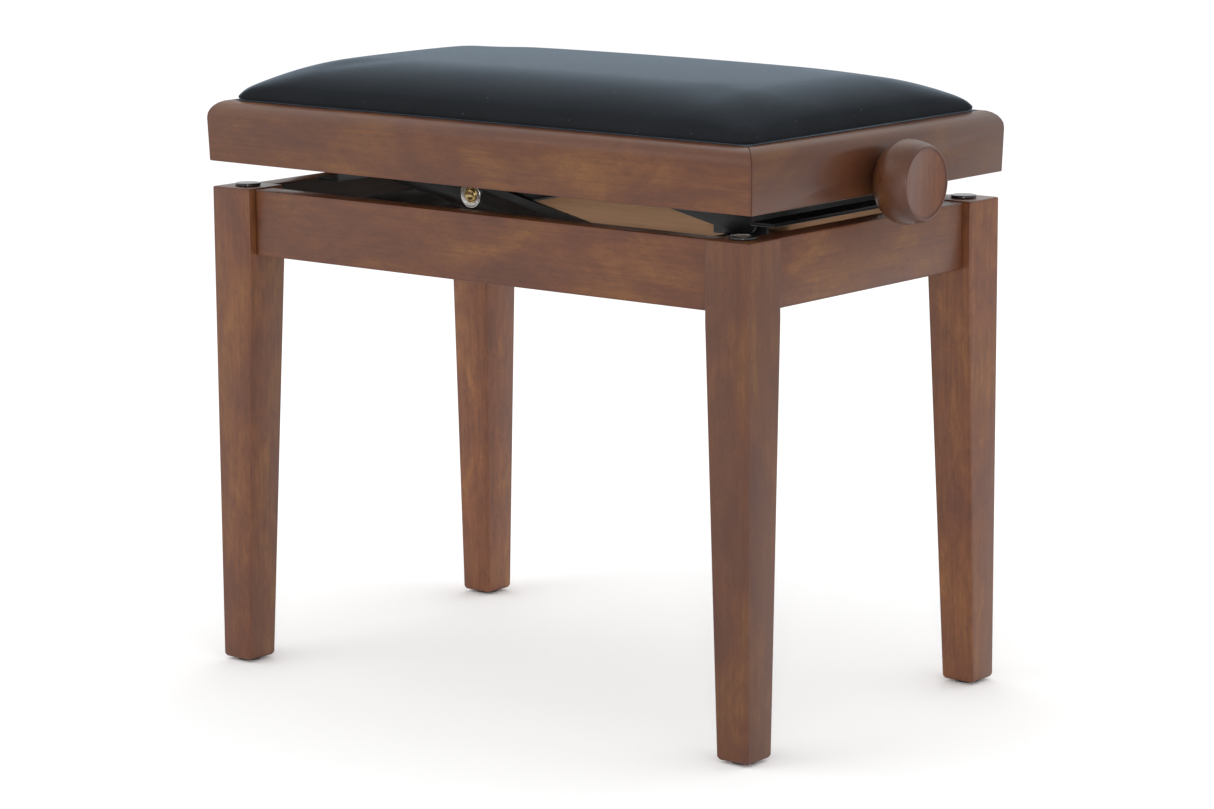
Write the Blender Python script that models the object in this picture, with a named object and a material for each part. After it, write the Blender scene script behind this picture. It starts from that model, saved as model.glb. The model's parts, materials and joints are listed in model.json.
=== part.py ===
"""Height-adjustable piano bench: four-legged wooden base, steel scissor lift, upholstered seat.

Metres, +Z up.  The origin is on the floor under the middle of the bench.  +X runs along the
bench towards one of its two turning knobs, and -Y is a long side.  The lift carries the seat
on two pairs of crossed arms.  Their left ends turn on fixed pivots, their right ends slide,
and a cross bar with a nut on the spindle sets how far apart they are.
"""
import math

import bmesh
import bpy
from mathutils import Matrix, Vector

# ---------------------------------------------------------------- driving dimensions
GAP = 0.0003                     # air between pieces that touch

SEAT_LENGTH = 0.560              # seat frame, along X
SEAT_WIDTH = 0.337               # seat frame, along Y
SEAT_BOTTOM = 0.4213
SEAT_TOP = 0.4710
RAIL_WIDTH = 0.040               # seat rail, seen from above
RAIL_LEAN = 0.0012               # the outer face leans in towards the bottom
RAIL_ROUND = 0.014               # round on the outer top edge
RAIL_ROUND_STEPS = 6
BOARD_THICKNESS = 0.012
BOARD_EDGE = 0.0150              # seat board's edge, in from the outer face
CUSHION_EDGE = 0.0136            # cushion's lower edge, in from the outer face
CUSHION_HEIGHT = 0.0345
CUSHION_ROUND = 0.020            # corner radius of the cushion, seen from above
CUSHION_LIP = 0.003              # upright edge at the bottom
CUSHION_SLOPE_X = 0.067          # run of the sloping side, from the short and the long sides
CUSHION_SLOPE_Y = 0.090
CUSHION_FALL = 1.9               # powers that shape the sloping side
CUSHION_BULGE = 2.1
CUSHION_STEPS = 5

LEG_SPAN_X = 0.552               # over the outer faces of the legs
LEG_SPAN_Y = 0.335
LEG_TOP = 0.4005
LEG_SIZE = 0.041                 # square section at the top
LEG_FOOT = 0.030                 # square section at the floor end
LEG_TAPER_START = 0.338
LEG_CHAMFER = 0.002
GLIDE_RADIUS = 0.010
GLIDE_HEIGHT = 0.002
PAD_RADIUS = 0.0105
PAD_HEIGHT = 0.0022

APRON_BOTTOM = 0.346
APRON_TOP = 0.3995
APRON_THICKNESS = 0.020
APRON_RECESS = 0.006             # outer face, in from the legs' outer faces
APRON_ROUND = 0.004              # rounded upright edge beside the leg
TENON_LENGTH = 0.014
TENON_THICKNESS = 0.009
TENON_SHOULDER = 0.009           # above and below the tenon

SHEET = 0.003                    # sheet steel
ARM_LENGTH = 0.280               # between the end pivots of an arm
ARM_THICKNESS = 0.004
ARM_HALF_WIDTH = 0.013
PIVOT_X = -0.196
LOWER_PIVOT_Z = 0.3735
SPINDLE_Z = 0.432
ARM_A_Y = 0.084                  # inner face of the inner arm
ARM_B_Y = 0.089                  # inner face of the outer arm
RAIL_Y = 0.096                   # inner face of the carrier rail and of the slotted bracket
BRACKET_Y = 0.0836               # outer face of the pivot bracket
PIVOT_RADIUS = 0.0050            # shank of a pivot bolt
STUD_RADIUS = 0.0040             # stud on the outer arm, runs in the base slot
RIVET_RADIUS = 0.0045            # shank of the middle rivet
RIVET_HEAD = 0.0105
RIVET_HOLE = 0.0058              # wide hole for it in the outer arm
SLOT_OFFSET = 0.009              # centre of the long slots, back from the resting slide
BASE_SLOT_LENGTH = 0.032
SEAT_SLOT_LENGTH = 0.034
ARM_END_SLOT_LENGTH = 0.0075
PIVOT_FLANGE_Y = 0.060           # how far in the pivot bracket's foot reaches
SLOT_FLANGE_Y = 0.116            # how far out the slotted bracket's foot reaches

CHANNEL_WIDTH = 0.036
CHANNEL_BOTTOM = 0.346
CHANNEL_TOP = 0.3588
LEFT_CHANNEL_X = -0.210
RIGHT_CHANNEL_X = 0.069
CARRIER_HALF = 0.212             # half length of the carrier rails
CARRIER_FLANGE_Y = 0.118
CARRIER_DROP = 0.012             # carrier web below the spindle's axis
END_CHANNEL_NEAR = 0.214         # end channel's web, from the middle
END_CHANNEL_FAR = 0.237
END_CHANNEL_HALF = 0.083
END_CHANNEL_BOTTOM = 0.400

BAR_RADIUS = 0.005
BAR_HALF = 0.1010
NUT_SIZE = (0.026, 0.030, 0.024)
SPINDLE_RADIUS = 0.006
SPINDLE_HALF = 0.300
THREAD_DEPTH = 0.0009
THREAD_START = 0.030
THREAD_END = 0.120
THREAD_PITCH = 0.0075
BORE_CLEARANCE = 0.0005
BUSH_RADIUS = 0.0092
BUSH_HOLE_RADIUS = 0.0095
BUSH_FLANGE = 0.0125             # of the bush in the end channel
FRAME_BUSH_FLANGE = 0.0150       # of the bush in the seat frame
FRAME_BUSH_DEPTH = 0.020
COLLAR_RADIUS = 0.0110
COLLAR_LENGTH = 0.009

KNOB_INNER = 0.2828              # knob's face beside the seat frame
KNOB_OUTER = 0.3205
KNOB_RADIUS = 0.0329
KNOB_FACE = 0.0290               # flat outer face
KNOB_NECK = 0.0200

SEGMENTS = 16                    # sides of a small round piece
KNOB_SEGMENTS = 28

LIFT_REST = SPINDLE_Z - LOWER_PIVOT_Z
ARM_ANGLE = math.asin(LIFT_REST / ARM_LENGTH)
SLIDE_X = PIVOT_X + ARM_LENGTH * math.cos(ARM_ANGLE)
BOARD_TOP = SEAT_TOP
BOARD_BOTTOM = BOARD_TOP - BOARD_THICKNESS
SIDES = {"front": -1, "back": 1}
ENDS = {"left": -1, "right": 1}


# ---------------------------------------------------------------- materials and helpers
def make_material(name, colour, roughness, metallic=0.0):
    """A plain Principled material."""
    material = bpy.data.materials.new(name)
    material.use_nodes = True
    shader = material.node_tree.nodes["Principled BSDF"]
    shader.inputs["Base Color"].default_value = (*colour, 1.0)
    shader.inputs["Roughness"].default_value = roughness
    shader.inputs["Metallic"].default_value = metallic
    return material


def make_object(name, mesh_data, material):
    """Turn a bmesh into a named object with its faces pointing out."""
    bmesh.ops.recalc_face_normals(mesh_data, faces=mesh_data.faces)
    mesh = bpy.data.meshes.new(name)
    mesh_data.to_mesh(mesh)
    mesh_data.free()
    piece = bpy.data.objects.new(name, mesh)
    if material is not None:
        mesh.materials.append(material)
    bpy.context.scene.collection.objects.link(piece)
    return piece


def place_on_axis(axis, u, v, w):
    """A point from two section coordinates and the distance w along an axis."""
    return {"X": Vector((w, u, v)), "Y": Vector((u, w, v)), "Z": Vector((u, v, w))}[axis]


def prism(name, outline, axis, start, end, material=None):
    """A closed outline pushed along an axis from start to end."""
    data = bmesh.new()
    corners = [data.verts.new(place_on_axis(axis, u, v, start)) for u, v in outline]
    face = data.faces.new(corners)
    pushed = bmesh.ops.extrude_face_region(data, geom=[face])
    moved = [item for item in pushed["geom"] if isinstance(item, bmesh.types.BMVert)]
    bmesh.ops.translate(data, verts=moved, vec=place_on_axis(axis, 0, 0, end - start))
    return make_object(name, data, material)


def turned(name, profile, axis, centre, material=None, segments=SEGMENTS, ring=False):
    """A profile of (distance along the axis, radius) turned about the axis through centre."""
    data = bmesh.new()
    points = [data.verts.new((radius, 0.0, along)) for along, radius in profile]
    edges = [data.edges.new(pair) for pair in zip(points, points[1:])]
    if ring:
        edges.append(data.edges.new((points[-1], points[0])))
    bmesh.ops.spin(data, geom=points + edges, cent=(0, 0, 0), axis=(0, 0, 1),
                   angle=math.tau, steps=segments, use_merge=True)
    bmesh.ops.remove_doubles(data, verts=data.verts, dist=1e-6)
    turn = {
        "X": Matrix.Rotation(math.pi / 2, 4, "Y"),
        "Y": Matrix.Rotation(-math.pi / 2, 4, "X"),
        "Z": Matrix.Identity(4),
    }[axis]
    bmesh.ops.transform(data, matrix=Matrix.Translation(centre) @ turn, verts=data.verts)
    piece = make_object(name, data, material)
    piece.data.shade_smooth()
    piece.data.set_sharp_from_angle(angle=math.radians(35))
    return piece


def rod(name, radius, axis, start, end, centre, material=None, segments=SEGMENTS):
    """A plain round rod between two places on its axis."""
    profile = [(start, 0.0), (start, radius), (end, radius), (end, 0.0)]
    return turned(name, profile, axis, centre, material, segments)


def box(name, low, high, material=None):
    """A block between two corners."""
    outline = [(low[0], low[1]), (high[0], low[1]), (high[0], high[1]), (low[0], high[1])]
    return prism(name, outline, "Z", low[2], high[2], material)


def rectangle(low_u, low_v, high_u, high_v):
    """The four corners of a rectangle."""
    return [(low_u, low_v), (high_u, low_v), (high_u, high_v), (low_u, high_v)]


def rounded_slot(length, radius, centre=(0.0, 0.0), angle=0.0, steps=8):
    """An outline with two round ends, length between the centres of the ends."""
    points = []
    for end in (1, -1):
        for step in range(steps + 1):
            turn = math.pi * step / steps - math.pi / 2 + (0 if end > 0 else math.pi)
            points.append((end * length / 2 + radius * math.cos(turn), radius * math.sin(turn)))
    cos, sin = math.cos(angle), math.sin(angle)
    return [(centre[0] + u * cos - v * sin, centre[1] + u * sin + v * cos) for u, v in points]


def combine(piece, other, operation):
    """Apply a Boolean with a helper piece that is then kept only as a guide."""
    modifier = piece.modifiers.new(operation.lower(), "BOOLEAN")
    modifier.operation = operation
    modifier.solver = "EXACT"
    modifier.object = other
    other.hide_render = True
    other.display_type = "WIRE"
    other.parent = piece


def arc(centre, radius, start, end, steps):
    """Points on a round stretch, angles in degrees."""
    turns = [math.radians(start + (end - start) * step / steps) for step in range(steps + 1)]
    return [(centre[0] + radius * math.cos(t), centre[1] + radius * math.sin(t)) for t in turns]


def pivot_empty(name, location):
    """An empty on a joint's axis, which carries the pieces of one moving body."""
    empty = bpy.data.objects.new(name, None)
    empty.location = location
    empty.empty_display_size = 0.02
    bpy.context.scene.collection.objects.link(empty)
    return empty


def carry(empty, pieces):
    """Parent pieces to a joint's empty without moving them."""
    for piece in pieces:
        piece.parent = empty
        piece.matrix_parent_inverse = Matrix.Translation(empty.location).inverted()


# ---------------------------------------------------------------- wooden base
def leg_outline(side_x, side_y, size, inset=0.0):
    """Corners of a leg's square section, its outer corner fixed and its inner faces moving."""
    outer_x = side_x * (LEG_SPAN_X / 2 - inset)
    outer_y = side_y * (LEG_SPAN_Y / 2 - inset)
    inner_x = side_x * (LEG_SPAN_X / 2 - size + inset)
    inner_y = side_y * (LEG_SPAN_Y / 2 - size + inset)
    return [(outer_x, outer_y), (inner_x, outer_y), (inner_x, inner_y), (outer_x, inner_y)]


def make_leg(name, side_x, side_y, material):
    """A square leg whose two inner faces taper from just below the apron."""
    rings = [
        (GLIDE_HEIGHT, leg_outline(side_x, side_y, LEG_FOOT, LEG_CHAMFER)),
        (GLIDE_HEIGHT + LEG_CHAMFER, leg_outline(side_x, side_y, LEG_FOOT)),
        (LEG_TAPER_START, leg_outline(side_x, side_y, LEG_SIZE)),
        (LEG_TOP, leg_outline(side_x, side_y, LEG_SIZE)),
    ]
    data = bmesh.new()
    loops = [[data.verts.new((x, y, z)) for x, y in outline] for z, outline in rings]
    for lower, upper in zip(loops, loops[1:]):
        for corner in range(4):
            following = (corner + 1) % 4
            data.faces.new((lower[corner], lower[following], upper[following], upper[corner]))
    data.faces.new(loops[0])
    data.faces.new(loops[-1])
    leg = make_object(name, data, material)
    for axis in "XY":
        combine(leg, tenon(f"{name}_mortise_{axis.lower()}", axis, side_x, side_y, GAP), "DIFFERENCE")
    return leg


def tenon(name, axis, side_x, side_y, grow=0.0):
    """The tongue at one end of an apron; grown a little it is the mortise for it."""
    across = (LEG_SPAN_Y if axis == "X" else LEG_SPAN_X) / 2 - APRON_RECESS - APRON_THICKNESS / 2
    along = (LEG_SPAN_X if axis == "X" else LEG_SPAN_Y) / 2 - LEG_SIZE
    side_along, side_across = (side_x, side_y) if axis == "X" else (side_y, side_x)
    half = TENON_THICKNESS / 2 + grow
    outline = rectangle(side_across * across - half, APRON_BOTTOM + TENON_SHOULDER - grow,
                        side_across * across + half, APRON_TOP - TENON_SHOULDER + grow)
    inner = side_along * (along - 0.002)
    outer = side_along * (along + TENON_LENGTH + grow)
    return prism(name, outline, axis, inner, outer)


def make_apron(name, axis, side, material):
    """A board between two legs, with a tenon on each end and a rounded outer upright edge."""
    half = (LEG_SPAN_X if axis == "X" else LEG_SPAN_Y) / 2 - LEG_SIZE - GAP
    outer = side * ((LEG_SPAN_Y if axis == "X" else LEG_SPAN_X) / 2 - APRON_RECESS)
    inner = outer - side * APRON_THICKNESS
    turn_centre = outer - side * APRON_ROUND
    right_end = arc((half - APRON_ROUND, 0.0), APRON_ROUND, 0, 90, 4)
    round_end = [(u, turn_centre + side * v) for u, v in right_end]
    outline = [(-half, inner), (half, inner)] + round_end
    outline += [(-u, v) for u, v in reversed(round_end)]
    if axis == "Y":
        outline = [(v, u) for u, v in outline]
    apron = prism(name, outline, "Z", APRON_BOTTOM, APRON_TOP, material)
    for end in (-1, 1):
        side_x, side_y = (end, side) if axis == "X" else (side, end)
        tongue = tenon(f"{name}_tongue_{'left' if end < 0 else 'right'}", axis, side_x, side_y)
        combine(apron, tongue, "UNION")
    return apron


def make_base_wood(wood, plastic):
    """Legs with their glides and pads, and the four aprons."""
    for front, side_y in SIDES.items():
        for left, side_x in ENDS.items():
            place = f"{front}_{left}"
            make_leg(f"leg_{place}", side_x, side_y, wood)
            foot_x = side_x * (LEG_SPAN_X - LEG_FOOT) / 2
            foot_y = side_y * (LEG_SPAN_Y - LEG_FOOT) / 2
            rod(f"glide_{place}", GLIDE_RADIUS, "Z", 0.0, GLIDE_HEIGHT - GAP, (foot_x, foot_y, 0), plastic)
            top_x = side_x * (LEG_SPAN_X - LEG_SIZE) / 2
            top_y = side_y * (LEG_SPAN_Y - LEG_SIZE) / 2
            dome = [(0.0, 0.0), (0.0, PAD_RADIUS), (PAD_HEIGHT - 0.001, PAD_RADIUS),
                    (PAD_HEIGHT, PAD_RADIUS - 0.001), (PAD_HEIGHT, 0.0)]
            turned(f"pad_{place}", dome, "Z", (top_x, top_y, LEG_TOP + GAP), plastic)
    make_apron("apron_front", "X", -1, wood)
    make_apron("apron_back", "X", 1, wood)
    make_apron("apron_left", "Y", -1, wood)
    make_apron("apron_right", "Y", 1, wood)


# ---------------------------------------------------------------- steel on the base
def make_cross_channel(end, centre_x, steel, zinc):
    """An open channel between the long aprons, with an end tab and a screw at each side."""
    half_width = CHANNEL_WIDTH / 2
    reach = LEG_SPAN_Y / 2 - APRON_RECESS - APRON_THICKNESS - GAP
    outer = rectangle(centre_x - half_width, CHANNEL_BOTTOM, centre_x + half_width, CHANNEL_TOP)
    channel = prism(f"cross_channel_{end}", outer, "Y", -reach, reach, steel)
    hollow = rectangle(centre_x - half_width + SHEET, CHANNEL_BOTTOM - SHEET,
                       centre_x + half_width - SHEET, CHANNEL_TOP - SHEET)
    cutter = prism(f"hollow_{end}", hollow, "Y", -reach + SHEET, reach - SHEET)
    combine(channel, cutter, "DIFFERENCE")
    screw_z = (CHANNEL_BOTTOM + CHANNEL_TOP) / 2 - 0.001
    for front, side in SIDES.items():
        tab = side * (reach - SHEET)
        hole = rod(f"screw_hole_{end}_{front}", 0.0030, "Y", -0.008, 0.008,
                   (centre_x, side * reach, screw_z), segments=12)
        combine(channel, hole, "DIFFERENCE")
        pilot = rod(f"pilot_{end}_{front}", 0.0028, "Y", -0.0160, 0.0160,
                    (centre_x, side * reach, screw_z), segments=12)
        combine(bpy.data.objects[f"apron_{front}"], pilot, "DIFFERENCE")
        head = [(0.0, 0.0), (0.0, 0.0030), (0.0008, 0.0044), (0.0022, 0.0044),
                (0.0022, 0.0025), (0.0150, 0.0022), (0.0172, 0.0)]
        profile = [(side * (along - 0.0022 - GAP), radius) for along, radius in head]
        turned(f"channel_screw_{end}_{front}", profile, "Y", (centre_x, tab, screw_z), zinc, 12)


def bracket_outline(centre_x, half_width, top_half, low, pivot_z):
    """Upright of a bracket: straight foot edge, round or wide top around the pivot."""
    points = [(centre_x - half_width, low), (centre_x + half_width, low)]
    points += arc((centre_x + top_half, pivot_z), ARM_HALF_WIDTH, 0, 90, 5)
    points += arc((centre_x - top_half, pivot_z), ARM_HALF_WIDTH, 90, 180, 5)
    return points


def make_brackets(steel):
    """Pivot brackets on the left channel, and slotted brackets on the right channel."""
    foot = CHANNEL_TOP + GAP
    for front, side in SIDES.items():
        left = prism(f"pivot_bracket_{front}",
                     bracket_outline(PIVOT_X, ARM_HALF_WIDTH, 0.0, foot, LOWER_PIVOT_Z),
                     "Y", side * (BRACKET_Y - SHEET), side * BRACKET_Y, steel)
        flange = box(f"pivot_flange_{front}",
                     (PIVOT_X - 0.030, min(side * PIVOT_FLANGE_Y, side * BRACKET_Y), foot),
                     (PIVOT_X + ARM_HALF_WIDTH, max(side * PIVOT_FLANGE_Y, side * BRACKET_Y), foot + SHEET))
        combine(left, flange, "UNION")
        bore = rod(f"pivot_bore_{front}", PIVOT_RADIUS + GAP, "Y", 0.070 * side, 0.090 * side,
                   (PIVOT_X, 0, LOWER_PIVOT_Z))
        combine(left, bore, "DIFFERENCE")

        slot_centre = (SLIDE_X - SLOT_OFFSET, LOWER_PIVOT_Z)
        right = prism(f"slot_bracket_{front}",
                      bracket_outline(slot_centre[0], 0.028, 0.015, foot, LOWER_PIVOT_Z),
                      "Y", side * RAIL_Y, side * (RAIL_Y + SHEET), steel)
        flange = box(f"slot_flange_{front}",
                     (slot_centre[0] - 0.028, min(side * RAIL_Y, side * SLOT_FLANGE_Y), foot),
                     (slot_centre[0] + 0.028, max(side * RAIL_Y, side * SLOT_FLANGE_Y), foot + SHEET))
        combine(right, flange, "UNION")
        slot = prism(f"base_slot_{front}", rounded_slot(BASE_SLOT_LENGTH, STUD_RADIUS + 0.0012, slot_centre),
                     "Y", side * 0.090, side * 0.110)
        combine(right, slot, "DIFFERENCE")


# ---------------------------------------------------------------- seat
def rail_section():
    """Section of a seat rail as (distance in from the outer face, height)."""
    centre = (RAIL_ROUND, SEAT_TOP - RAIL_ROUND)
    edge = BOARD_EDGE - GAP
    ledge = BOARD_BOTTOM - GAP
    points = [(RAIL_LEAN, SEAT_BOTTOM)]
    points += [(u, z) for u, z in arc(centre, RAIL_ROUND, 180, 90, RAIL_ROUND_STEPS)]
    points += [(edge, SEAT_TOP), (edge, ledge), (RAIL_WIDTH, ledge), (RAIL_WIDTH, SEAT_BOTTOM)]
    return points


def make_seat_rail(name, axis, side, material):
    """A rail of the seat frame with mitred ends."""
    half_long = (SEAT_LENGTH if axis == "X" else SEAT_WIDTH) / 2
    half_across = (SEAT_WIDTH if axis == "X" else SEAT_LENGTH) / 2
    data = bmesh.new()
    loops = []
    for end in (-1, 1):
        loop = []
        for inward, height in rail_section():
            along = end * (half_long - inward - GAP / 2)
            across = side * (half_across - inward)
            x, y = (along, across) if axis == "X" else (across, along)
            loop.append(data.verts.new((x, y, height)))
        loops.append(loop)
    count = len(loops[0])
    for corner in range(count):
        following = (corner + 1) % count
        data.faces.new((loops[0][corner], loops[0][following], loops[1][following], loops[1][corner]))
    data.faces.new(loops[0])
    data.faces.new(loops[1])
    return make_object(name, data, material)


def rounded_rectangle(half_x, half_y, radius, steps=5):
    """Outline of a rectangle with round corners."""
    points = []
    for corner, (side_x, side_y) in enumerate(((1, 1), (-1, 1), (-1, -1), (1, -1))):
        centre = (side_x * (half_x - radius), side_y * (half_y - radius))
        points += arc(centre, radius, 90 * corner, 90 * corner + 90, steps)
    return points


def make_cushion(material):
    """The padded top as a plain crowned block with sloping sides."""
    low = SEAT_TOP + GAP
    half_x = SEAT_LENGTH / 2 - CUSHION_EDGE
    half_y = SEAT_WIDTH / 2 - CUSHION_EDGE
    levels = [(0.0, 0.0), (CUSHION_LIP, 0.0)]
    for step in range(1, CUSHION_STEPS + 1):
        share = step / CUSHION_STEPS
        bulge = (1 - (1 - share) ** CUSHION_FALL) ** (1 / CUSHION_BULGE)
        levels.append((CUSHION_LIP + (CUSHION_HEIGHT - CUSHION_LIP) * bulge, share))
    data = bmesh.new()
    loops = []
    for height, share in levels:
        outline = rounded_rectangle(half_x - share * CUSHION_SLOPE_X,
                                    half_y - share * CUSHION_SLOPE_Y, CUSHION_ROUND)
        loops.append([data.verts.new((x, y, low + height)) for x, y in outline])
    for lower, upper in zip(loops, loops[1:]):
        for corner in range(len(lower)):
            following = (corner + 1) % len(lower)
            data.faces.new((lower[corner], lower[following], upper[following], upper[corner]))
    data.faces.new(loops[0])
    data.faces.new(loops[-1])
    return make_object("seat_cushion", data, material)


def make_seat_wood(wood, ply, fabric):
    """Mitred frame, seat board and cushion."""
    pieces = [
        make_seat_rail("seat_rail_front", "X", -1, wood),
        make_seat_rail("seat_rail_back", "X", 1, wood),
        make_seat_rail("seat_rail_left", "Y", -1, wood),
        make_seat_rail("seat_rail_right", "Y", 1, wood),
    ]
    half_x = SEAT_LENGTH / 2 - BOARD_EDGE
    half_y = SEAT_WIDTH / 2 - BOARD_EDGE
    board = box("seat_board", (-half_x, -half_y, BOARD_BOTTOM), (half_x, half_y, BOARD_TOP), ply)
    for end, side in ENDS.items():
        hole = rod(f"frame_hole_{end}", BUSH_HOLE_RADIUS, "X", 0.235 * side, 0.285 * side, (0, 0, SPINDLE_Z))
        combine(pieces[2 if side < 0 else 3], hole, "DIFFERENCE")
    return pieces + [board, make_cushion(fabric)]


def make_carrier(steel, plastic):
    """The steel under the seat board: two side rails, two end channels and their bushes."""
    pieces = []
    top = BOARD_BOTTOM - GAP
    web_low = SPINDLE_Z - CARRIER_DROP
    for front, side in SIDES.items():
        section = [(side * RAIL_Y, web_low), (side * (RAIL_Y + SHEET), web_low),
                   (side * (RAIL_Y + SHEET), top - SHEET), (side * CARRIER_FLANGE_Y, top - SHEET),
                   (side * CARRIER_FLANGE_Y, top), (side * RAIL_Y, top)]
        rail = prism(f"carrier_rail_{front}", section, "X", -CARRIER_HALF, CARRIER_HALF, steel)
        bore = rod(f"carrier_bore_{front}", PIVOT_RADIUS + GAP, "Y", 0.080 * side, 0.110 * side,
                   (PIVOT_X, 0, SPINDLE_Z))
        slot = prism(f"carrier_slot_{front}",
                     rounded_slot(SEAT_SLOT_LENGTH, BAR_RADIUS + BORE_CLEARANCE,
                                  (SLIDE_X - SLOT_OFFSET, SPINDLE_Z)),
                     "Y", side * 0.090, side * 0.110)
        combine(rail, bore, "DIFFERENCE")
        combine(rail, slot, "DIFFERENCE")
        pieces.append(rail)
    for end, side in ENDS.items():
        near, far = side * END_CHANNEL_NEAR, side * END_CHANNEL_FAR
        inner = near + side * SHEET
        section = [(near, END_CHANNEL_BOTTOM), (far, END_CHANNEL_BOTTOM),
                   (far, END_CHANNEL_BOTTOM + SHEET), (inner, END_CHANNEL_BOTTOM + SHEET),
                   (inner, top - SHEET), (far, top - SHEET), (far, top), (near, top)]
        channel = prism(f"end_channel_{end}", section, "Y", -END_CHANNEL_HALF, END_CHANNEL_HALF, steel)
        hole = rod(f"bush_hole_{end}", BUSH_HOLE_RADIUS, "X", near - side * 0.004, near + side * 0.008,
                   (0, 0, SPINDLE_Z))
        combine(channel, hole, "DIFFERENCE")
        pieces.append(channel)
        pieces.append(make_bush(f"spindle_bush_{end}", side, near + side * SHEET, BUSH_FLANGE,
                                -SHEET - GAP, plastic))
        pieces.append(make_bush(f"frame_bush_{end}", side, side * SEAT_LENGTH / 2, FRAME_BUSH_FLANGE,
                                -FRAME_BUSH_DEPTH, plastic))
    return pieces


def make_bush(name, side, face, flange, depth, material):
    """A flanged bush: the flange lies on the face at x = face, the sleeve goes back by depth."""
    bore = SPINDLE_RADIUS + GAP
    thickness = 0.0020
    profile = [(depth, bore), (depth, BUSH_RADIUS), (GAP, BUSH_RADIUS), (GAP, flange),
               (thickness, flange), (thickness, bore)]
    placed = [(side * along, radius) for along, radius in profile]
    return turned(name, placed, "X", (face, 0, SPINDLE_Z), material, ring=True)


# ---------------------------------------------------------------- scissor arms and drive
def make_arm(name, side, face, angle, pivot_z, steel):
    """A flat arm from its fixed pivot, with a hole at the pivot and at the middle."""
    middle = (PIVOT_X + ARM_LENGTH / 2 * math.cos(angle), pivot_z + ARM_LENGTH / 2 * math.sin(angle))
    outline = rounded_slot(ARM_LENGTH, ARM_HALF_WIDTH, middle, angle)
    return prism(name, outline, "Y", side * face, side * (face + ARM_THICKNESS), steel), middle


def make_arms(steel, zinc):
    """Inner arms on the base pivots, outer arms on the seat pivots, and the middle rivets."""
    inner, outer = [], []
    for front, side in SIDES.items():
        arm, middle = make_arm(f"inner_arm_{front}", side, ARM_A_Y, ARM_ANGLE, LOWER_PIVOT_Z, steel)
        slot_turn = rounded_slot(ARM_END_SLOT_LENGTH, BAR_RADIUS + 0.0008, (SLIDE_X, SPINDLE_Z), ARM_ANGLE)
        holes = [
            rod(f"inner_pivot_hole_{front}", PIVOT_RADIUS + GAP, "Y", 0.080 * side, 0.095 * side,
                (PIVOT_X, 0, LOWER_PIVOT_Z)),
            rod(f"inner_middle_hole_{front}", RIVET_RADIUS + GAP, "Y", 0.080 * side, 0.095 * side,
                (middle[0], 0, middle[1])),
            prism(f"inner_end_slot_{front}", slot_turn, "Y", 0.080 * side, 0.095 * side),
        ]
        for hole in holes:
            combine(arm, hole, "DIFFERENCE")
        inner.append(arm)
        inner.append(make_rivet(f"middle_rivet_{front}", side, middle, zinc))

        arm, middle = make_arm(f"outer_arm_{front}", side, ARM_B_Y, -ARM_ANGLE, SPINDLE_Z, steel)
        stud = rod(f"outer_stud_{front}", STUD_RADIUS, "Y", side * 0.0905, side * 0.1005,
                   (SLIDE_X, 0, LOWER_PIVOT_Z))
        combine(arm, stud, "UNION")
        holes = [
            rod(f"outer_pivot_hole_{front}", PIVOT_RADIUS + GAP, "Y", 0.084 * side, 0.098 * side,
                (PIVOT_X, 0, SPINDLE_Z)),
            rod(f"outer_middle_hole_{front}", RIVET_HOLE, "Y", 0.084 * side, 0.098 * side,
                (middle[0], 0, middle[1])),
        ]
        for hole in holes:
            combine(arm, hole, "DIFFERENCE")
        outer.append(arm)
    return inner, outer


def make_rivet(name, side, middle, zinc):
    """The rivet where the arms cross, fast in the inner arm."""
    low, high = ARM_A_Y - 0.0022, ARM_B_Y + ARM_THICKNESS + 0.0018
    near, far = ARM_A_Y - GAP, ARM_B_Y + ARM_THICKNESS + GAP
    profile = [(low, 0.0), (low, RIVET_HEAD - 0.0015), (low + 0.0007, RIVET_HEAD),
               (near, RIVET_HEAD), (near, RIVET_RADIUS), (far, RIVET_RADIUS), (far, RIVET_HEAD),
               (high - 0.0005, RIVET_HEAD), (high, RIVET_HEAD - 0.0015), (high, 0.0)]
    placed = [(side * along, radius) for along, radius in profile]
    return turned(name, placed, "Y", (middle[0], 0, middle[1]), zinc)


def make_bolt(name, side, stations, height, zinc):
    """A shouldered pivot bolt: washer and nut inside, thin head outside."""
    inside, shank_start, shank_end, outside = stations
    nut_radius, washer_radius, head_radius = 0.0078, 0.0098, 0.0080
    washer = shank_start - 0.0014
    profile = [(inside, 0.0), (inside, PIVOT_RADIUS - 0.0008), (inside + 0.0012, PIVOT_RADIUS),
               (inside + 0.0012, nut_radius), (washer, nut_radius), (washer, washer_radius),
               (shank_start, washer_radius), (shank_start, PIVOT_RADIUS), (shank_end, PIVOT_RADIUS),
               (shank_end, head_radius), (outside, head_radius - 0.0010), (outside, 0.0)]
    placed = [(side * along, radius) for along, radius in profile]
    return turned(name, placed, "Y", (PIVOT_X, 0, height), zinc)


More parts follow.
